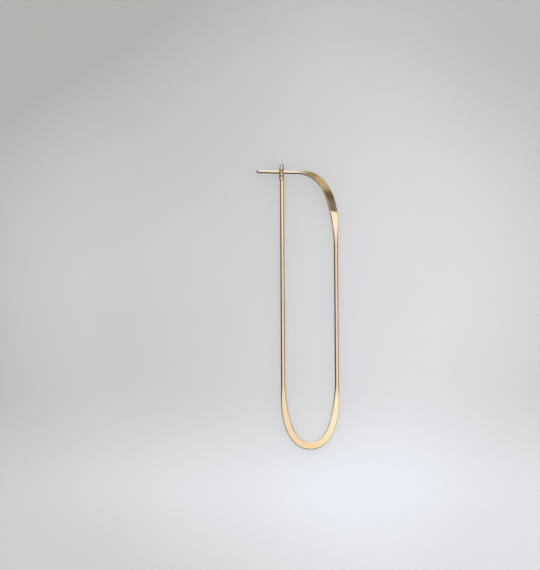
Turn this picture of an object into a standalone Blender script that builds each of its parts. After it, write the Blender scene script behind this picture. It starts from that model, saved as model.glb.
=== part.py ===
"""Long oval hoop earring, forged from one length of round gold wire. Metres, +Z up.

The hoop lies flat, face up, with +Y towards the ear post and +X towards the shoulder. Its origin is under
the middle of its bounding box, on the surface that it lies on.

The wire runs from the tip of the ear post through the shoulder, the outer leg, the bend and the inner leg
to the eye, a long narrow loop folded back over the leg, square to the hoop, that the post passes through.
"""

import math
from collections import namedtuple

import bmesh
import bpy
import numpy as np
from mathutils import Vector

# The wire, and the thinner stretch of it that passes through the ear
WIRE_DIAMETER = 0.00100
POST_DIAMETER = 0.00082

# The hoop, measured between the centre lines of its wire
HOOP_WIDTH = 0.01302
LEG_LENGTH = 0.0321
BEND_DEPTH = 0.0165
SHOULDER_WIDTH = 0.0095
SHOULDER_DEPTH = 0.0174

# How squared its two ovals are. An ellipse has 2, and more than that is flatter at the far end of the curve
# and straighter beside the legs.
BEND_END_SQUARENESS = 2.25
BEND_SIDE_SQUARENESS = 2.8
SHOULDER_SQUARENESS = 2.6

# The ear post, which rises slightly towards its filed tip. The bluntness is the tip's flat, as a share.
POST_REACH = 0.0062
POST_RISE = math.radians(1.6)
POST_POINT_LENGTH = 0.00030
POST_POINT_BLUNTNESS = 0.5

# The eye: its clearance under and over the post, how far beyond the post the middle of its half turn lies,
# and its tail, measured from the post, which stops short of the leg and a little to one side
EYE_CLEARANCE = 0.00012
EYE_OVERRUN = 0.00042
EYE_TAIL_LENGTH = 0.0020
EYE_TAIL_GAP = 0.00035
EYE_DRIFT = 0.00020

# The widest hammered faces
BEND_FACE_WIDTH = 0.00175
SHOULDER_FACE_WIDTH = 0.00225

# How the hammering comes on. Each row is a share of the way along and how much of the widest face it has
# reached there: for the bend from a leg to its lowest point, for the shoulder from the post to the leg.
BEND_WIDENING = (
    (0.00, 0.00),
    (0.10, 0.02),
    (0.22, 0.27),
    (0.55, 0.86),
    (1.00, 1.00),
)
SHOULDER_WIDENING = (
    (0.00, 0.03),
    (0.08, 0.36),
    (0.18, 0.71),
    (0.34, 0.95),
    (0.48, 1.00),
    (0.62, 0.84),
    (0.74, 0.46),
    (0.86, 0.18),
    (1.00, 0.00),
)
# The ribbon's face turns from facing outward, at 0, to facing straight up, at 1.
SHOULDER_TURNING = (
    (0.00, 0.05),
    (0.08, 0.19),
    (0.18, 0.53),
    (0.48, 0.59),
    (0.62, 0.63),
    (0.74, 0.72),
    (1.00, 1.00),
)
# The share of the shoulder, from the post on, in which the wire reaches its full thickness
SHOULDER_THINNING = 0.35

# How finely the wire is divided
SIDES = 16
POINT_STEPS = 4
SHOULDER_STEPS = 56
BEND_STEPS = 72
EYE_TURN_STEPS = 24
EYE_TAIL_STEPS = 20
STRAIGHT_STEPS = 8
MEASURING_STEPS = 1000

UP = Vector((0, 0, 1))
ALONG_X = Vector((1, 0, 0))

# side is the direction that points away from the middle of the hoop. turn is 0 where a hammered face looks
# that way and a right angle where it looks up.
Station = namedtuple("Station", "centre half_width half_thickness turn side")

wire_radius = WIRE_DIAMETER / 2
post_radius = POST_DIAMETER / 2
leg_x = HOOP_WIDTH / 2
eye_radius = post_radius + EYE_CLEARANCE + wire_radius
post_height = wire_radius + eye_radius


def smooth_table(rows, share):
    """The table's value at a share, on a smooth curve through its rows that never overshoots them."""
    at = [row[0] for row in rows]
    value = [row[1] for row in rows]
    slopes = [0.0]
    for before, here, after in zip(range(len(rows)), range(1, len(rows)), range(2, len(rows))):
        left = (value[here] - value[before]) / (at[here] - at[before])
        right = (value[after] - value[here]) / (at[after] - at[here])
        slopes.append(2 * left * right / (left + right) if left * right > 0 else 0.0)
    slopes.append(0.0)
    row = sum(share >= start for start in at[1:-1])
    span = at[row + 1] - at[row]
    t = (share - at[row]) / span
    return (
        value[row] * (1 + 2 * t) * (1 - t) ** 2
        + value[row + 1] * t * t * (3 - 2 * t)
        + slopes[row] * span * t * (1 - t) ** 2
        - slopes[row + 1] * span * t * t * (1 - t)
    )


def smoothstep(share):
    return share * share * (3 - 2 * share)


def hammered(radius, face_width, share):
    """Half the width and half the thickness of round wire hammered to a share of its widest face.

    The section, two flats joined by half-rounds, keeps the area of the round wire.
    """
    half_width = radius + share * (face_width / 2 - radius)
    corner = 4 - math.pi
    spare = max(4 * half_width**2 - corner * math.pi * radius**2, 0)
    return half_width, (2 * half_width - math.sqrt(spare)) / corner


def evenly(curve, steps):
    """Points along a curve, given as a function of a share from 0 to 1, at even distances."""
    fine = [curve(i / MEASURING_STEPS) for i in range(MEASURING_STEPS + 1)]
    lengths = [0.0]
    for before, after in zip(fine, fine[1:]):
        lengths.append(lengths[-1] + math.dist(before, after))
    wanted = np.linspace(0, lengths[-1], steps + 1)
    xs = np.interp(wanted, lengths, [p[0] for p in fine])
    ys = np.interp(wanted, lengths, [p[1] for p in fine])
    return list(zip(xs, ys))


def quarter_oval(share, width, depth, end_squareness, side_squareness):
    """A point on a quarter of a squared oval: its end, (0, depth), at share 0 and (width, 0) at share 1."""
    angle = share * math.pi / 2
    across = width * math.sin(angle) ** (2 / end_squareness)
    return across, depth * max(math.cos(angle), 0) ** (2 / side_squareness)


def post_line(x):
    """Where the centre line of the post stands in Y."""
    return LEG_LENGTH + SHOULDER_DEPTH + (leg_x - x) * math.tan(POST_RISE)


def round_station(x, y, z, radius, turn=math.pi / 2, side=None):
    return Station(Vector((x, y, z)), radius, radius, turn, side)


def post():
    """From the rounded point filed on the tip to just before the shoulder."""
    tip_x = -leg_x - POST_REACH
    foot_x = leg_x - SHOULDER_WIDTH
    stations = []
    for i in range(POINT_STEPS):
        angle = math.pi / 2 * i / POINT_STEPS
        x = tip_x + POST_POINT_LENGTH * (1 - math.cos(angle))
        radius = post_radius * (POST_POINT_BLUNTNESS + (1 - POST_POINT_BLUNTNESS) * math.sin(angle))
        stations.append(round_station(x, post_line(x), post_height, radius, turn=0.0))
    start_x = tip_x + POST_POINT_LENGTH
    for i in range(STRAIGHT_STEPS):
        share = i / STRAIGHT_STEPS
        x = start_x + share * (foot_x - start_x)
        stations.append(round_station(x, post_line(x), post_height, post_radius, turn=0.0))
    return stations


def shoulder():
    """From the post round to the outer leg, while it comes down from the post's height to the surface."""

    def curve(share):
        squareness = SHOULDER_SQUARENESS
        across, up = quarter_oval(share, SHOULDER_WIDTH, SHOULDER_DEPTH, squareness, squareness)
        x = leg_x - SHOULDER_WIDTH + across
        return x, LEG_LENGTH + up + (leg_x - x) * math.tan(POST_RISE)

    stations = []
    points = evenly(curve, SHOULDER_STEPS)
    for i, (x, y) in enumerate(points):
        share = i / SHOULDER_STEPS
        thinned = 1 - smoothstep(min(share / SHOULDER_THINNING, 1))
        radius = wire_radius + thinned * (post_radius - wire_radius)
        widening = smooth_table(SHOULDER_WIDENING, share)
        half_width, half_thickness = hammered(radius, SHOULDER_FACE_WIDTH, widening)
        turn = smooth_table(SHOULDER_TURNING, share) * math.pi / 2
        half_height = (half_width - half_thickness) * math.cos(turn) + half_thickness
        clear_under = (post_height - post_radius) * (1 - smoothstep(share))
        centre = Vector((x, y, clear_under + half_height))
        stations.append(Station(centre, half_width, half_thickness, turn, None))
    return stations


def leg(x, start_y, end_y):
    """Straight round wire, without its two ends, which belong to its neighbours."""
    stations = []
    for i in range(1, STRAIGHT_STEPS):
        y = start_y + (end_y - start_y) * i / STRAIGHT_STEPS
        stations.append(round_station(x, y, wire_radius, wire_radius))
    return stations


def bend():
    """The lower half-oval. It is hammered from above on a flat block, so its underside stays level."""

    def curve(share):
        from_end = abs(2 * share - 1)
        across, down = quarter_oval(
            from_end, leg_x, BEND_DEPTH, BEND_END_SQUARENESS, BEND_SIDE_SQUARENESS
        )
        return (across if share < 0.5 else -across), -down

    stations = []
    points = evenly(curve, BEND_STEPS)
    for i, (x, y) in enumerate(points):
        share = 1 - abs(2 * i / BEND_STEPS - 1)
        widening = smooth_table(BEND_WIDENING, share)
        half_width, half_thickness = hammered(wire_radius, BEND_FACE_WIDTH, widening)
        centre = Vector((x, y, half_thickness))
        stations.append(Station(centre, half_width, half_thickness, math.pi / 2, None))
    return stations


def eye():
    """The catch: a half turn of the wire just beyond the post, and its tail, back over the post and down."""
    post_y = post_line(-leg_x)
    top = post_height + eye_radius
    drop = top - 3 * wire_radius - EYE_TAIL_GAP
    points = []
    for i in range(EYE_TURN_STEPS):
        angle = math.pi * i / EYE_TURN_STEPS
        y = post_y + EYE_OVERRUN + eye_radius * math.sin(angle)
        points.append((y, post_height - eye_radius * math.cos(angle)))
    for i in range(EYE_TAIL_STEPS + 1):
        past_post = (EYE_OVERRUN + EYE_TAIL_LENGTH) * i / EYE_TAIL_STEPS - EYE_OVERRUN
        share = max(past_post / EYE_TAIL_LENGTH, 0)
        points.append((post_y - past_post, top - drop * smoothstep(share)))
    stations = []
    for i, (y, z) in enumerate(points):
        x = -leg_x - EYE_DRIFT * smoothstep(i / (len(points) - 1))
        stations.append(round_station(x, y, z, wire_radius, side=-ALONG_X))
    return stations


def section(station, along):
    """The corners of the wire's section: two half-rounds joined by two flats, one on each hammered face."""
    side = UP.cross(along).normalized() if station.side is None else station.side
    up = along.cross(side).normalized()
    side = up.cross(along)
    wide = up * math.cos(station.turn) - side * math.sin(station.turn)
    face = up * math.sin(station.turn) + side * math.cos(station.turn)
    half_flat = station.half_width - station.half_thickness
    corner_radius = station.half_thickness / math.cos(math.pi / SIDES)
    corners = []
    for i in range(SIDES):
        angle = 2 * math.pi * (i + 0.5) / SIDES
        across = math.copysign(half_flat, math.cos(angle)) + corner_radius * math.cos(angle)
        corners.append(station.centre + wide * across + face * corner_radius * math.sin(angle))
    return corners


def sweep(mesh, stations):
    """Joins the sections of a row of stations into one closed skin."""
    rings = []
    for i, station in enumerate(stations):
        before = stations[max(i - 1, 0)].centre
        after = stations[min(i + 1, len(stations) - 1)].centre
        corners = section(station, (after - before).normalized())
        rings.append([mesh.verts.new(corner) for corner in corners])
    for near, far in zip(rings, rings[1:]):
        for i in range(SIDES):
            j = (i + 1) % SIDES
            mesh.faces.new((near[i], near[j], far[j], far[i]))
    mesh.faces.new(rings[0])
    mesh.faces.new(rings[-1])
    bmesh.ops.recalc_face_normals(mesh, faces=mesh.faces)


def place_on_surface(mesh):
    """Moves the middle of the bounding box over the origin, and its underside to the surface."""
    corners = [vertex.co for vertex in mesh.verts]
    low = Vector([min(corner[axis] for corner in corners) for axis in range(3)])
    high = Vector([max(corner[axis] for corner in corners) for axis in range(3)])
    middle = (low + high) / 2
    bmesh.ops.translate(mesh, verts=mesh.verts, vec=-Vector((middle.x, middle.y, low.z)))


def gold():
    material = bpy.data.materials.new("gold")
    material.use_nodes = True
    shader = material.node_tree.nodes["Principled BSDF"]
    shader.inputs["Base Color"].default_value = (0.90, 0.68, 0.36, 1)
    shader.inputs["Metallic"].default_value = 1.0
    shader.inputs["Roughness"].default_value = 0.14
    return material


def hoop_wire():
    stations = (
        post()
        + shoulder()
        + leg(leg_x, LEG_LENGTH, 0)
        + bend()
        + leg(-leg_x, 0, post_line(-leg_x) + EYE_OVERRUN)
        + eye()
    )
    skin = bmesh.new()
    sweep(skin, stations)
    place_on_surface(skin)
    data = bpy.data.meshes.new("hoop_wire")
    skin.to_mesh(data)
    skin.free()
    data.shade_smooth()
    data.set_sharp_from_angle(angle=math.radians(40))
    data.materials.append(gold())
    wire = bpy.data.objects.new("hoop_wire", data)
    bpy.context.scene.collection.objects.link(wire)
    return wire


for old in list(bpy.data.objects):
    bpy.data.objects.remove(old, do_unlink=True)
hoop_wire()
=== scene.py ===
"""The looks of a long oval hoop earring in polished gold, lying on a pale surface. Metres, +Z up."""

import math

import bpy
import numpy as np
from mathutils import Matrix, Vector, noise


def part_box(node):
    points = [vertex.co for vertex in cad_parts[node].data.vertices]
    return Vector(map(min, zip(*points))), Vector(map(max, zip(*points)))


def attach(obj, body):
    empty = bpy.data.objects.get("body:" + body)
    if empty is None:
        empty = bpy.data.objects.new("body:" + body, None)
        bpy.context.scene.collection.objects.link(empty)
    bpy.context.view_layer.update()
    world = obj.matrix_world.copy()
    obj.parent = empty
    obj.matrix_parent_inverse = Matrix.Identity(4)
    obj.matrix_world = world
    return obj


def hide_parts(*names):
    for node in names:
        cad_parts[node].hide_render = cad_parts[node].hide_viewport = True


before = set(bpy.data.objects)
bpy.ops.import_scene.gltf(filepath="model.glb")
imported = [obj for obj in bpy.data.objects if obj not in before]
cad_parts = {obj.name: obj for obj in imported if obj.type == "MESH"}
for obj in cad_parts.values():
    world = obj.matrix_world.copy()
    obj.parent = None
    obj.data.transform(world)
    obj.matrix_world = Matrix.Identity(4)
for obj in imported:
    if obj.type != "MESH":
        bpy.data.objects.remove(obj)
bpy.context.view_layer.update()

# The wire
WIRE_DIAMETER = 0.00100
POST_DIAMETER = 0.00082

# The hoop, measured between the centre lines of its wire
HOOP_WIDTH = 0.01302
LEG_LENGTH = 0.0321
BEND_DEPTH = 0.0165
SHOULDER_WIDTH = 0.0095
SHOULDER_DEPTH = 0.0174
BEND_END_SQUARENESS = 2.25
BEND_SIDE_SQUARENESS = 2.8
SHOULDER_SQUARENESS = 2.6

# The ear post
POST_REACH = 0.0062
POST_RISE = math.radians(1.6)
# Its point: its length, how thick its end is as a share of the post, and its form, from round at 0 to a
# cone at 1
POINT_LENGTH = 0.00052
POINT_BLUNTNESS = 0.30
POINT_SHARPNESS = 0.55
POINT_STEPS = 12

# The eye and its cut tail: the room round the post, how far the turn is beyond the post, and how far the
# tail's end is past the post, above the leg and to its side
EYE_CLEARANCE = 0.00012
EYE_OVERRUN = 0.00055
EYE_TAIL_LENGTH = 0.0020
EYE_TAIL_GAP = 0.00050
EYE_DRIFT = 0.00024
# The rounding of the tail's cut end, and how much thinner the tail is there
TAIL_ROUNDING = 0.00012
TAIL_ROUNDING_SECTIONS = 9
TAIL_THINNING = 0.15
# How far beyond the post, as a share of the eye's radius, its turn begins to be painted pale, a painted
# reflection
PALE_REFLECTION_START = 0.15

# The crease on top of the eye where it crosses the post: its depth, its half length, the share of that over
# which it is full, and how far its middle is beyond the post
CREASE_DEPTH = 0.00013
CREASE_REACH = 0.00062
CREASE_FULL = 0.6
CREASE_SHIFT = 0.00010
# Its place and its spread across the wire, as shares of the half width
CREASE_ACROSS = 0.45
CREASE_SPREAD = 0.27
# How strong the crease's painted shade is on the rest of the wire's top there, from 0 to 1
CREASE_SHADE_ROUND = 0.28

# The widest hammered faces
BEND_FACE_WIDTH = 0.00175
SHOULDER_FACE_WIDTH = 0.00225
# How the hammering comes on, in rows of (share of the way along, share of the widest face): from either end
# of the bend to its foot, and from the post to the leg for the shoulder
BEND_WIDENING = ((0.00, 0.00), (0.10, 0.02), (0.22, 0.27), (0.55, 0.86), (1.00, 1.00))
SHOULDER_WIDENING = (
    (0.00, 0.03),
    (0.08, 0.36),
    (0.18, 0.71),
    (0.34, 0.95),
    (0.48, 1.00),
    (0.62, 0.84),
    (0.74, 0.46),
    (0.86, 0.18),
    (1.00, 0.00),
)
# The shoulder's face turns from outward at 0 to upward at 1, in rows of (share of the way along, turn).
SHOULDER_TURNING = (
    (0.00, 0.30),
    (0.08, 0.40),
    (0.18, 0.53),
    (0.48, 0.59),
    (0.62, 0.63),
    (0.74, 0.72),
    (1.00, 1.00),
)
# The share of the shoulder over which the thin post grows to the full wire
SHOULDER_THINNING = 0.35

# How much lower the edges of a hammered face lie than its middle, as a share of its half width
SHOULDER_CROWN = 0.010
BEND_CROWN = 0.030
# How far the rims are from half-round where the wire is hammered most: 1 would be a sharp square edge
SHOULDER_RIM_SQUARENESS = 0.70
BEND_RIM_SQUARENESS = 0.05
# The rims reach that at this share of the widest face
RIM_FULL_AT = 0.5
# The depth of the hammer's marks, the length of one, and how soon they reach their full depth
MARK_DEPTH = 0.0000022
MARK_LENGTH = 0.0016
MARK_GROWTH = 1.6
MARK_PATTERN = 3.7

# How finely the wire is divided, and how much longer than it is a quarter turn of its outline counts
SIDES = 64
STEP = 0.00016
TURN_WEIGHT = 0.00045
EYE_STEP = 0.00010
MEASURING_STEPS = 4000
SHARP_ANGLE = math.radians(35)

wire_radius = WIRE_DIAMETER / 2
post_radius = POST_DIAMETER / 2
leg_x = HOOP_WIDTH / 2
eye_radius = post_radius + EYE_CLEARANCE + wire_radius
post_height = wire_radius + eye_radius
post_turn = SHOULDER_TURNING[0][1] * math.pi / 2


def smooth_table(rows, share):
    """The table's value at a share, on a smooth curve through its rows that never overshoots them."""
    at = [row[0] for row in rows]
    value = [row[1] for row in rows]
    slopes = [0.0]
    for before, here, after in zip(range(len(rows)), range(1, len(rows)), range(2, len(rows))):
        left = (value[here] - value[before]) / (at[here] - at[before])
        right = (value[after] - value[here]) / (at[after] - at[here])
        slopes.append(2 * left * right / (left + right) if left * right > 0 else 0.0)
    slopes.append(0.0)
    row = sum(share >= start for start in at[1:-1])
    span = at[row + 1] - at[row]
    t = (share - at[row]) / span
    return (
        value[row] * (1 + 2 * t) * (1 - t) ** 2
        + value[row + 1] * t * t * (3 - 2 * t)
        + slopes[row] * span * t * (1 - t) ** 2
        - slopes[row + 1] * span * t * t * (1 - t)
    )


def smoothstep(share):
    share = min(max(share, 0.0), 1.0)
    return share * share * (3 - 2 * share)


def hammered(radius, face_width, share):
    """Half the width and half the thickness of round wire hammered to a share of its widest face."""
    half_width = radius + share * (face_width / 2 - radius)
    corner = 4 - math.pi
    spare = max(4 * half_width**2 - corner * math.pi * radius**2, 0)
    return half_width, (2 * half_width - math.sqrt(spare)) / corner


def quarter_oval(share, width, depth, end_squareness, side_squareness):
    """A point on a quarter of a squared oval: its end, (0, depth), at share 0 and (width, 0) at share 1."""
    angle = share * math.pi / 2
    across = width * math.sin(angle) ** (2 / end_squareness)
    return across, depth * max(math.cos(angle), 0) ** (2 / side_squareness)


def evenly(curve):
    """Points along a curve at even distances of about STEP, as (share of its length, x, y)."""
    fine = np.array([curve(i / MEASURING_STEPS) for i in range(MEASURING_STEPS + 1)])
    lengths = np.concatenate([[0], np.cumsum(np.linalg.norm(np.diff(fine, axis=0), axis=1))])
    steps = math.ceil(lengths[-1] / STEP)
    wanted = np.linspace(0, lengths[-1], steps + 1)
    xs = np.interp(wanted, lengths, fine[:, 0])
    ys = np.interp(wanted, lengths, fine[:, 1])
    return [(i / steps, float(x), float(y)) for i, (x, y) in enumerate(zip(xs, ys))]


def post_line(x):
    """How far along Y the middle of the post is at a place along X."""
    return LEG_LENGTH + SHOULDER_DEPTH + (leg_x - x) * math.tan(POST_RISE)


class Station:
    """One section of the wire: its place and half sizes, which way its face looks and how it is worked."""

    def __init__(self, centre, half_width, half_thickness, turn=math.pi / 2, side=None):
        self.centre = Vector(centre)
        self.half_width = half_width
        self.half_thickness = half_thickness
        self.turn = turn
        self.side = side
        self.flat = 0.0
        self.corner = half_thickness
        self.crown = 0.0
        self.crease = 0.0
        self.pale_reflection = 0.0

    def hammer(self, share, rim_squareness, crown):
        self.flat = share
        self.corner = self.half_thickness * (1 - rim_squareness * min(share / RIM_FULL_AT, 1))
        self.crown = crown * self.half_width * share
        return self


def post():
    """The straight ear post, from its point to the shoulder."""
    tip_x = -leg_x - POST_REACH
    foot_x = leg_x - SHOULDER_WIDTH
    stations = []
    for i in range(POINT_STEPS):
        angle = math.pi / 2 * i / POINT_STEPS
        share = 1 - math.cos(angle)
        x = tip_x + POINT_LENGTH * share
        grown = (1 - POINT_SHARPNESS) * math.sin(angle) + POINT_SHARPNESS * share
        radius = post_radius * (POINT_BLUNTNESS + (1 - POINT_BLUNTNESS) * grown)
        stations.append(Station((x, post_line(x), post_height), radius, radius, turn=post_turn))
    start_x = tip_x + POINT_LENGTH
    steps = math.ceil((foot_x - start_x) / (2 * STEP))
    for i in range(steps):
        x = start_x + (foot_x - start_x) * i / steps
        stations.append(Station((x, post_line(x), post_height), post_radius, post_radius, turn=post_turn))
    return stations


def shoulder():
    """The upper corner, hammered into a ribbon whose face turns from outward to upward."""

    def curve(share):
        squareness = SHOULDER_SQUARENESS
        across, up = quarter_oval(share, SHOULDER_WIDTH, SHOULDER_DEPTH, squareness, squareness)
        x = leg_x - SHOULDER_WIDTH + across
        return x, LEG_LENGTH + up + (leg_x - x) * math.tan(POST_RISE)

    stations = []
    for share, x, y in evenly(curve):
        thinned = 1 - smoothstep(share / SHOULDER_THINNING)
        radius = wire_radius + thinned * (post_radius - wire_radius)
        widening = smooth_table(SHOULDER_WIDENING, share)
        half_width, half_thickness = hammered(radius, SHOULDER_FACE_WIDTH, widening)
        turn = smooth_table(SHOULDER_TURNING, share) * math.pi / 2
        half_height = (half_width - half_thickness) * math.cos(turn) + half_thickness
        clear_under = (post_height - post_radius) * (1 - smoothstep(share))
        centre = (x, y, clear_under + half_height)
        station = Station(centre, half_width, half_thickness, turn)
        stations.append(station.hammer(widening, SHOULDER_RIM_SQUARENESS, SHOULDER_CROWN))
    return stations


def leg(x, start_y, end_y):
    """A straight leg of round wire, without the sections at its two ends."""
    steps = math.ceil(abs(end_y - start_y) / (2 * STEP))
    return [
        Station((x, start_y + (end_y - start_y) * i / steps, wire_radius), wire_radius, wire_radius)
        for i in range(1, steps)
    ]


def bend():
    """The lower half-oval, hammered flat in the plane of the hoop."""

    def curve(share):
        from_end = abs(2 * share - 1)
        across, down = quarter_oval(
            from_end, leg_x, BEND_DEPTH, BEND_END_SQUARENESS, BEND_SIDE_SQUARENESS
        )
        return (across if share < 0.5 else -across), -down

    stations = []
    for share, x, y in evenly(curve):
        widening = smooth_table(BEND_WIDENING, 1 - abs(2 * share - 1))
        half_width, half_thickness = hammered(wire_radius, BEND_FACE_WIDTH, widening)
        station = Station((x, y, half_thickness), half_width, half_thickness)
        stations.append(station.hammer(widening, BEND_RIM_SQUARENESS, BEND_CROWN))
    return stations


def eye():
    """The catch: a half turn of the wire just beyond the post, and its tail, back over the post and down."""
    post_y = post_line(-leg_x)
    top = post_height + eye_radius
    drop = top - 3 * wire_radius - EYE_TAIL_GAP
    length = EYE_OVERRUN + EYE_TAIL_LENGTH
    turn_steps = math.ceil(math.pi * eye_radius / EYE_STEP)
    tail_steps = math.ceil(length / EYE_STEP)
    rows = []
    for i in range(turn_steps):
        angle = math.pi * i / turn_steps
        y = post_y + EYE_OVERRUN + eye_radius * math.sin(angle)
        rows.append((y, post_height - eye_radius * math.cos(angle), wire_radius))
    # The tail's end is rounded off over its last few sections.
    shares = [i / tail_steps for i in range(tail_steps - 1)]
    angles = np.linspace(0, math.pi / 2, TAIL_ROUNDING_SECTIONS)
    tail = [(share * length, 0.0) for share in shares]
    tail += [(length - TAIL_ROUNDING * (1 - math.sin(angle)), angle) for angle in angles]
    for along, angle in tail:
        past_post = along - EYE_OVERRUN
        z = top - drop * smoothstep(past_post / EYE_TAIL_LENGTH)
        thinned = wire_radius * (1 - TAIL_THINNING * smoothstep(along / length))
        rows.append((post_y - past_post, z, thinned - TAIL_ROUNDING * (1 - math.cos(angle))))
    stations = []
    for i, (y, z, radius) in enumerate(rows):
        x = -leg_x - EYE_DRIFT * smoothstep(i / (len(rows) - 1))
        station = Station((x, y, z), radius, radius, side=Vector((-1, 0, 0)))
        if z > post_height:
            from_middle = abs(y - post_y - CREASE_SHIFT) / CREASE_REACH
            station.crease = 1 - smoothstep((from_middle - CREASE_FULL) / (1 - CREASE_FULL))
        # How pale the eye's turn is painted here: a painted grey reflection
        station.pale_reflection = smoothstep((y - post_y) / eye_radius - PALE_REFLECTION_START)
        stations.append(station)
    return stations


def quarter_outline(station, share):
    """A point on a quarter of the section, from the middle of its rim to the middle of its face."""
    corner = station.corner
    rim = station.half_thickness - corner
    turn = (corner + TURN_WEIGHT) * math.pi / 2
    at = share * (rim + turn + station.half_width - corner)
    if at < rim:
        return station.half_width, at
    angle = min((at - rim) / turn, 1.0) * math.pi / 2
    past = max(at - rim - turn, 0.0)
    across = station.half_width - corner + corner * math.cos(angle) - past
    return across, station.half_thickness - corner + corner * math.sin(angle)


def outline(station):
    """Points round the wire's section: (across the face, out of the face, how far into the crease)."""
    quarter = SIDES // 4
    points = []
    for i in range(SIDES):
        corner, step = divmod(i, quarter)
        backwards = corner % 2
        across, out = quarter_outline(station, (quarter - step if backwards else step) / quarter)
        across *= 1 if corner in (0, 3) else -1
        crease = 0.0
        if corner < 2:
            out -= out / station.half_thickness * station.crown * (across / station.half_width) ** 2
        else:
            # The tail runs back over the post, so its upper side is the under side of its outline.
            from_crease = (across / station.half_width - CREASE_ACROSS) / CREASE_SPREAD
            depth = station.crease * math.exp(-(from_crease**2))
            out = CREASE_DEPTH * depth - out
            # The third value is how strong the crease's painted shade is there.
            crease = max(depth, CREASE_SHADE_ROUND * station.crease)
        points.append((across, out, crease))
    return points


def make_wire(stations):
    """The closed skin through all the stations, with soft hammer marks where the wire is hammered."""
    points, flats, creases, pale_reflections = [], [], [], []
    count = len(stations)
    distance = 0.0
    for i, station in enumerate(stations):
        before = stations[max(i - 1, 0)].centre
        after = stations[min(i + 1, count - 1)].centre
        along = (after - before).normalized()
        side = Vector((0, 0, 1)).cross(along).normalized() if station.side is None else station.side
        up = along.cross(side).normalized()
        side = up.cross(along)
        wide = up * math.cos(station.turn) - side * math.sin(station.turn)
        face = up * math.sin(station.turn) + side * math.cos(station.turn)
        if i:
            distance += (station.centre - stations[i - 1].centre).length
        for across, out, crease in outline(station):
            mark = 0.0
            if out >= 0:
                place = (distance / MARK_LENGTH, across / MARK_LENGTH, MARK_PATTERN)
                mark = abs(noise.noise(place)) * MARK_DEPTH * smoothstep(station.flat * MARK_GROWTH)
            points.append(station.centre + wide * across + face * (out - mark))
            flats.append(station.flat)
            creases.append(crease)
            pale_reflections.append(station.pale_reflection)
    faces = []
    for ring in range(count - 1):
        for i in range(SIDES):
            j = (i + 1) % SIDES
            near, far = ring * SIDES, (ring + 1) * SIDES
            faces.append((near + i, near + j, far + j, far + i))
    faces.append(tuple(reversed(range(SIDES))))
    last = (count - 1) * SIDES
    faces.append(tuple(range(last, last + SIDES)))
    mesh = bpy.data.meshes.new("hoop_wire_polished")
    mesh.from_pydata([tuple(p) for p in points], [], faces)
    mesh.update()
    for name, values in (("flat", flats), ("crease", creases), ("pale_reflection", pale_reflections)):
        attribute = mesh.attributes.new(name, "FLOAT", "POINT")
        attribute.data.foreach_set("value", np.array(values, np.float32))
    mesh.shade_smooth()
    mesh.set_sharp_from_angle(angle=SHARP_ANGLE)
    return mesh


def place_in_cad_box(mesh):
    """Moves the skin so that its box has the solid wire's middle, standing on the same surface."""
    low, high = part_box("hoop_wire")
    own = np.array([v.co for v in mesh.vertices])
    own_low, own_high = own.min(axis=0), own.max(axis=0)
    middle = (np.array(low) + np.array(high) - own_low - own_high) / 2
    mesh.transform(Matrix.Translation((middle[0], middle[1], low[2] - own_low[2])))


eye_y = post_line(-leg_x) + EYE_OVERRUN
wire_mesh = make_wire(
    post() + shoulder() + leg(leg_x, LEG_LENGTH, 0) + bend() + leg(-leg_x, 0, eye_y) + eye()
)
place_in_cad_box(wire_mesh)
wire = bpy.data.objects.new("hoop_wire_polished", wire_mesh)
bpy.context.scene.collection.objects.link(wire)
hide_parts("hoop_wire")
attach(wire, "root")


# The places of the colour sockets on a mixing node
MIX_FACTOR = 0
MIX_A = 6
MIX_B = 7
MIX_RESULT = 2


class Nodes:
    """Adds shader nodes and links in one call each."""

    def __init__(self, tree):
        self.tree = tree

    def add(self, kind, **inputs):
        """A new node, with its named inputs linked or set."""
        node = self.tree.nodes.new(kind)
        for name, value in inputs.items():
            self.put(node, name.replace("_", " "), value)
        return node

    def attribute(self, name):
        """The value of one of the mesh's own attributes."""
        node = self.tree.nodes.new("ShaderNodeAttribute")
        node.attribute_name = name
        return node.outputs["Fac"]

    def put(self, node, key, value):
        """Links or sets one of a node's inputs, which is named or numbered."""
        socket = node.inputs[key]
        if isinstance(value, bpy.types.NodeSocket):
            self.tree.links.new(value, socket)
        else:
            socket.default_value = value

    def math(self, operation, a, b=0.0, clamp=False):
        node = self.tree.nodes.new("ShaderNodeMath")
        node.operation = operation
        node.use_clamp = clamp
        self.put(node, 0, a)
        self.put(node, 1, b)
        return node.outputs[0]

    def ramp(self, value, low, high, to_low=0.0, to_high=1.0, smooth=True):
        """A value's way from low to high, as a value from to_low to to_high that stops at both."""
        node = self.tree.nodes.new("ShaderNodeMapRange")
        node.interpolation_type = "SMOOTHSTEP" if smooth else "LINEAR"
        self.put(node, "Value", value)
        self.put(node, "From Min", low)
        self.put(node, "From Max", high)
        self.put(node, "To Min", to_low)
        self.put(node, "To Max", to_high)
        return node.outputs["Result"]

    def stops(self, value, rows):
        """A colour ramp through rows of (position from 0 to 1, colour)."""
        node = self.add("ShaderNodeValToRGB", Fac=value)
        elements = node.color_ramp.elements
        for _ in rows[2:]:
            elements.new(0.5)
        for element, (position, colour) in zip(elements, rows):
            element.position = position
            element.color = (*colour, 1)
        return node.outputs[0]

    def blend(self, factor, a, b):
        """Colour a at factor 0, and colour b at factor 1."""
        node = self.tree.nodes.new("ShaderNodeMix")
        node.data_type = "RGBA"
        self.put(node, MIX_FACTOR, factor)
        self.put(node, MIX_A, a)
        self.put(node, MIX_B, b)
        return node.outputs[MIX_RESULT]


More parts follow.
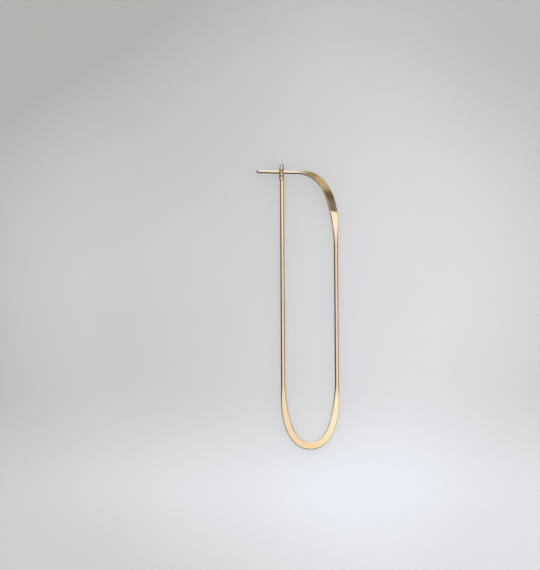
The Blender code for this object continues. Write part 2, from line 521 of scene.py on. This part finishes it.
def gold_material():
    material = bpy.data.materials.new("polished_gold")
    material.use_nodes = True
    n = Nodes(material.node_tree)
    shader = material.node_tree.nodes["Principled BSDF"]
    shader.inputs["Metallic"].default_value = 1.0
    place = n.add("ShaderNodeTexCoord").outputs["Object"]

    # Slow drift of the alloy's tone, and small warmer spots
    drift = n.add("ShaderNodeTexNoise", Vector=place, Scale=120.0, Detail=3.0, Roughness=0.6)
    spots = n.add("ShaderNodeTexNoise", Vector=place, Scale=1900.0, Detail=2.0)
    drifted = n.ramp(drift.outputs[0], 0.35, 0.65)
    tone = n.blend(drifted, (0.895, 0.705, 0.455, 1), (0.915, 0.730, 0.480, 1))
    # Painted shade and reflection on the legs: darker than the faces and the post, olive at the upper left.
    hammered_share = n.attribute("flat")
    across, along, _ = n.add("ShaderNodeSeparateXYZ", Vector=place).outputs
    on_legs = n.math("MULTIPLY", n.ramp(along, 0.018, 0.012), n.ramp(hammered_share, 0.50, 0.0))
    upper_left = n.math("MULTIPLY", n.ramp(across, 0.004, -0.002), n.ramp(along, -0.010, 0.015))
    legs_shade_tone = n.blend(upper_left, (0.770, 0.595, 0.375, 1), (0.705, 0.600, 0.375, 1))
    tone = n.blend(n.math("MULTIPLY", on_legs, 0.6), tone, legs_shade_tone)
    # Painted reflection: the hammered bend is rosier towards the inner leg, deeper at its foot and paler
    # towards the outer leg.
    on_bend = n.math("MULTIPLY", n.ramp(along, -0.010, -0.018), n.ramp(hammered_share, 0.0, 0.50))
    bend_reflection_tone = n.stops(
        n.ramp(across, -0.0045, 0.0100, smooth=False),
        [
            (0.00, (0.93, 0.71, 0.47)),
            (0.22, (0.91, 0.68, 0.45)),
            (0.40, (0.93, 0.69, 0.41)),
            (0.60, (0.94, 0.73, 0.42)),
            (0.85, (0.97, 0.83, 0.54)),
            (1.00, (0.98, 0.87, 0.59)),
        ],
    )
    tone = n.blend(on_bend, tone, bend_reflection_tone)
    tone = n.blend(n.ramp(spots.outputs[0], 0.62, 0.78, 0.0, 0.25), tone, (0.86, 0.62, 0.36, 1))
    # The eye's outer turn is painted pale as a painted grey reflection, and the crease over the post is
    # painted dark brown as painted shade.
    pale_reflection = n.math("MULTIPLY", n.attribute("pale_reflection"), 0.65)
    tone = n.blend(pale_reflection, tone, (0.76, 0.70, 0.58, 1))
    crease_shade = n.ramp(n.attribute("crease"), 0.0, 0.70, 0.0, 0.97)
    tone = n.blend(crease_shade, tone, (0.15, 0.07, 0.04, 1))
    n.put(shader, "Base Color", tone)

    # Fine polishing scratches in two directions, and a little unevenness in the polish
    stretched = n.add("ShaderNodeMapping", Vector=place, Scale=(9000.0, 700.0, 9000.0))
    lengthwise = n.add("ShaderNodeTexNoise", Vector=stretched.outputs[0], Scale=1.0, Detail=2.0)
    askew = (0.2, 0.1, 0.9)
    crossed = n.add("ShaderNodeMapping", Vector=place, Rotation=askew, Scale=(1200.0, 14000.0, 14000.0))
    crossing = n.add("ShaderNodeTexNoise", Vector=crossed.outputs[0], Scale=1.0, Detail=1.0)
    haze = n.add("ShaderNodeTexNoise", Vector=place, Scale=420.0, Detail=3.0)
    rough = n.math(
        "ADD",
        n.ramp(haze.outputs[0], 0.3, 0.7, 0.06, 0.10),
        n.ramp(crossing.outputs[0], 0.60, 0.75, 0.0, 0.05),
    )
    # The hammered faces are smoother than the drawn wire.
    burnished = n.ramp(hammered_share, 0.0, 0.5, 1.0, 0.6)
    n.put(shader, "Roughness", n.math("MULTIPLY", rough, burnished))

    scratches = n.math(
        "ADD",
        n.ramp(lengthwise.outputs[0], 0.30, 0.42, -1.0, 0.0),
        n.ramp(crossing.outputs[0], 0.62, 0.72, 0.0, -1.0),
    )
    fine = n.add("ShaderNodeBump", Height=scratches, Strength=0.06, Distance=0.000012)
    waves = n.add("ShaderNodeTexNoise", Vector=place, Scale=650.0, Detail=1.0)
    broad = n.add("ShaderNodeBump", Height=waves.outputs[0], Strength=0.05, Distance=0.00003)
    n.put(broad, "Normal", fine.outputs[0])
    n.put(shader, "Normal", broad.outputs[0])
    return material


wire_mesh.materials.append(gold_material())


# The surface: how far it reaches, the corners of its rim, and the middle of the painted pool of light on it
FLOOR_REACH = 3.0
FLOOR_CORNERS = 96
POOL_X, POOL_Y = -0.0079, 0.0077


def floor_material():
    """Pale frosted surface, lit from above, with painted light across it and a painted glow that keeps
    shadows soft and faint.
    """
    material = bpy.data.materials.new("pale_surface")
    material.use_nodes = True
    n = Nodes(material.node_tree)
    shader = material.node_tree.nodes["Principled BSDF"]
    place = n.add("ShaderNodeTexCoord").outputs["Object"]
    across, along, _ = n.add("ShaderNodeSeparateXYZ", Vector=place).outputs
    cloud = n.add("ShaderNodeTexNoise", Vector=place, Scale=22.0, Detail=2.0)
    # Painted light: dimmer and warmer towards the far left, brighter and cooler towards the near right, and
    # dimmer far out
    far = n.ramp(along, 0.070, 0.004, -0.24, 0.0)
    near = n.ramp(along, -0.017, -0.048, 0.53, 0.92)
    share = n.math("ADD", far, near)
    share = n.math("ADD", share, n.ramp(across, -0.046, 0.030, -0.13, 0.20))
    # A painted pool of light: the surface is painted darker away from its middle
    out_x = n.math("SUBTRACT", across, POOL_X)
    out_y = n.math("SUBTRACT", along, POOL_Y)
    squares = n.math("ADD", n.math("MULTIPLY", out_x, out_x), n.math("MULTIPLY", out_y, out_y))
    from_pool = n.math("SQRT", squares)
    share = n.math("SUBTRACT", share, n.ramp(from_pool, 0.044, 0.090, 0.0, 0.32))
    share = n.math("ADD", share, n.ramp(cloud.outputs[0], 0.3, 0.7, -0.02, 0.02), clamp=True)
    colour = n.stops(
        share,
        [
            (0.00, (0.435, 0.425, 0.405)),
            (0.50, (0.598, 0.596, 0.588)),
            (0.75, (0.688, 0.694, 0.698)),
            (1.00, (0.785, 0.805, 0.850)),
        ],
    )
    n.put(shader, "Base Color", n.blend(0.30, colour, (0, 0, 0, 1)))
    shader.inputs["Roughness"].default_value = 0.7
    shader.subsurface_method = "BURLEY"
    shader.inputs["Subsurface Weight"].default_value = 1.0
    shader.inputs["Subsurface Radius"].default_value = (1.0, 1.0, 1.0)
    shader.inputs["Subsurface Scale"].default_value = 0.014
    shader.inputs["Specular IOR Level"].default_value = 0.1
    # A painted glow: the surface gives off light in its own colour, which keeps its shadows faint
    n.put(shader, "Emission Color", colour)
    shader.inputs["Emission Strength"].default_value = 0.545
    return material


floor_angles = [2 * math.pi * i / FLOOR_CORNERS for i in range(FLOOR_CORNERS)]
floor_rim = [(FLOOR_REACH * math.cos(a), FLOOR_REACH * math.sin(a), 0.0) for a in floor_angles]
floor_mesh = bpy.data.meshes.new("floor")
floor_mesh.from_pydata(floor_rim, [], [tuple(range(FLOOR_CORNERS))])
floor_mesh.materials.append(floor_material())
floor = bpy.data.objects.new("floor", floor_mesh)
bpy.context.scene.collection.objects.link(floor)
# The metal does not mirror the surface, whose brightness would hide the metal's brown edges.
floor.visible_glossy = False


# What the metal mirrors low round it: the colour by compass heading, in degrees from +X towards +Y
ROOM = (
    (-180, (0.085, 0.050, 0.026)),
    (-135, (0.090, 0.060, 0.036)),
    (-90, (0.050, 0.040, 0.026)),
    (-60, (0.110, 0.090, 0.065)),
    (-30, (0.34, 0.30, 0.24)),
    (-4, (0.40, 0.36, 0.30)),
    (1, (0.36, 0.32, 0.26)),
    (3, (0.22, 0.18, 0.15)),
    (6, (0.140, 0.110, 0.095)),
    (9, (0.190, 0.165, 0.150)),
    (12, (0.255, 0.250, 0.265)),
    (16, (0.210, 0.190, 0.190)),
    (20, (0.155, 0.125, 0.110)),
    (25, (0.170, 0.150, 0.120)),
    (29, (0.40, 0.39, 0.28)),
    (34, (0.53, 0.51, 0.34)),
    (41, (0.62, 0.53, 0.34)),
    (52, (0.56, 0.49, 0.38)),
    (62, (0.36, 0.33, 0.25)),
    (74, (0.34, 0.32, 0.24)),
    (83, (0.60, 0.66, 0.75)),
    (90, (0.98, 1.08, 1.36)),
    (104, (0.92, 1.02, 1.26)),
    (130, (0.34, 0.32, 0.29)),
    (160, (0.160, 0.130, 0.100)),
    (170, (0.300, 0.250, 0.200)),
    (175, (0.135, 0.095, 0.062)),
    (180, (0.085, 0.050, 0.026)),
)
# How far down from the zenith, in degrees, the light reaches towards each heading
LIGHT_REACH = (
    (-180, 41),
    (-135, 44),
    (-90, 39),
    (-45, 60),
    (-10, 68),
    (14, 68),
    (20, 52),
    (60, 58),
    (90, 78),
    (135, 50),
    (172, 36),
    (180, 41),
)
# The glow low at the left and low beyond the far end
LOW_LEFT = (0.36, 0.31, 0.26, 1)
LOW_FAR = (0.38, 0.48, 0.68, 1)
# The light overhead towards each side
LIGHT_LEFT = (0.99, 0.98, 0.96, 1)
LIGHT_RIGHT = (1.15, 1.13, 1.14, 1)
LIGHT_FAR = (1.00, 1.10, 1.34, 1)
WALL = (0.66, 0.66, 0.66, 1)


def studio():
    """A wide soft light overhead and the dimmer room round it, with a plain wall past the surface."""
    world = bpy.data.worlds.new("studio")
    bpy.context.scene.world = world
    world.use_nodes = True
    world.node_tree.nodes.clear()
    n = Nodes(world.node_tree)
    direction = n.add("ShaderNodeTexCoord").outputs["Generated"]
    x, y, z = n.add("ShaderNodeSeparateXYZ", Vector=direction).outputs
    heading = n.ramp(n.math("ARCTAN2", y, x), -math.pi, math.pi, smooth=False)
    from_zenith = n.math("MULTIPLY", n.math("ARCCOSINE", z), 1 / math.pi)

    room = n.stops(heading, [((at + 180) / 360, colour) for at, colour in ROOM])
    # The metal's lowest parts mirror a dim glow at the left, and a cool one beyond the far end.
    below = n.ramp(from_zenith, 0.66, 0.80)
    room = n.blend(n.math("MULTIPLY", below, n.ramp(x, -0.1, -0.3)), room, LOW_LEFT)
    far_down = n.math("MULTIPLY", n.ramp(from_zenith, 0.54, 0.64), n.ramp(x, 0.04, -0.04))
    room = n.blend(n.math("MULTIPLY", far_down, n.ramp(y, 0.2, 0.4)), room, LOW_FAR)

    reach = n.stops(heading, [((at + 180) / 360, [angle / 180] * 3) for at, angle in LIGHT_REACH])
    past = n.math("SUBTRACT", from_zenith, reach)
    # Its edge is softer at the left than at the right.
    softness = n.ramp(x, -0.6, 0.6, 0.022, 0.006)
    inside = n.ramp(n.math("DIVIDE", past, softness), 0.5, -0.5)
    light = n.blend(n.ramp(x, 0.20, 0.60), LIGHT_LEFT, LIGHT_RIGHT)
    light = n.blend(n.ramp(y, 0.20, 0.55), light, LIGHT_FAR)
    light = n.blend(inside, room, light)

    studio_light = n.add("ShaderNodeBackground", Color=light)
    wall = n.add("ShaderNodeBackground", Color=WALL)
    both = n.add("ShaderNodeMixShader", Fac=n.add("ShaderNodeLightPath").outputs["Is Camera Ray"])
    n.put(both, 1, studio_light.outputs[0])
    n.put(both, 2, wall.outputs[0])
    n.add("ShaderNodeOutputWorld", Surface=both.outputs[0])


studio()


# The camera looks almost straight down and stands a little to the near side
LENS = 100.0
SENSOR = 36.0
IMAGE_WIDTH, IMAGE_HEIGHT = 540, 570
PIXELS_PER_METRE = 4120.0
ELEVATION = math.radians(86.0)
ROLL = math.radians(0.3)
AIM = Vector((-0.00673, 0.00513, 0.0005))


def place_camera():
    data = bpy.data.cameras.new("camera")
    data.lens = LENS
    data.sensor_width = SENSOR
    data.clip_start, data.clip_end = 0.01, 20.0
    camera = bpy.data.objects.new("camera", data)
    bpy.context.scene.collection.objects.link(camera)
    bpy.context.scene.camera = camera
    seen = max(IMAGE_WIDTH, IMAGE_HEIGHT) / PIXELS_PER_METRE
    distance = seen * LENS / SENSOR
    back = Vector((0, -math.cos(ELEVATION), math.sin(ELEVATION)))
    camera.location = AIM + back * distance
    camera.rotation_mode = "QUATERNION"
    rolled = Matrix.Rotation(-ROLL, 3, "Z").to_quaternion()
    camera.rotation_quaternion = (-back).to_track_quat("-Z", "Y") @ rolled


place_camera()

bpy.context.scene.view_settings.view_transform = "Standard"
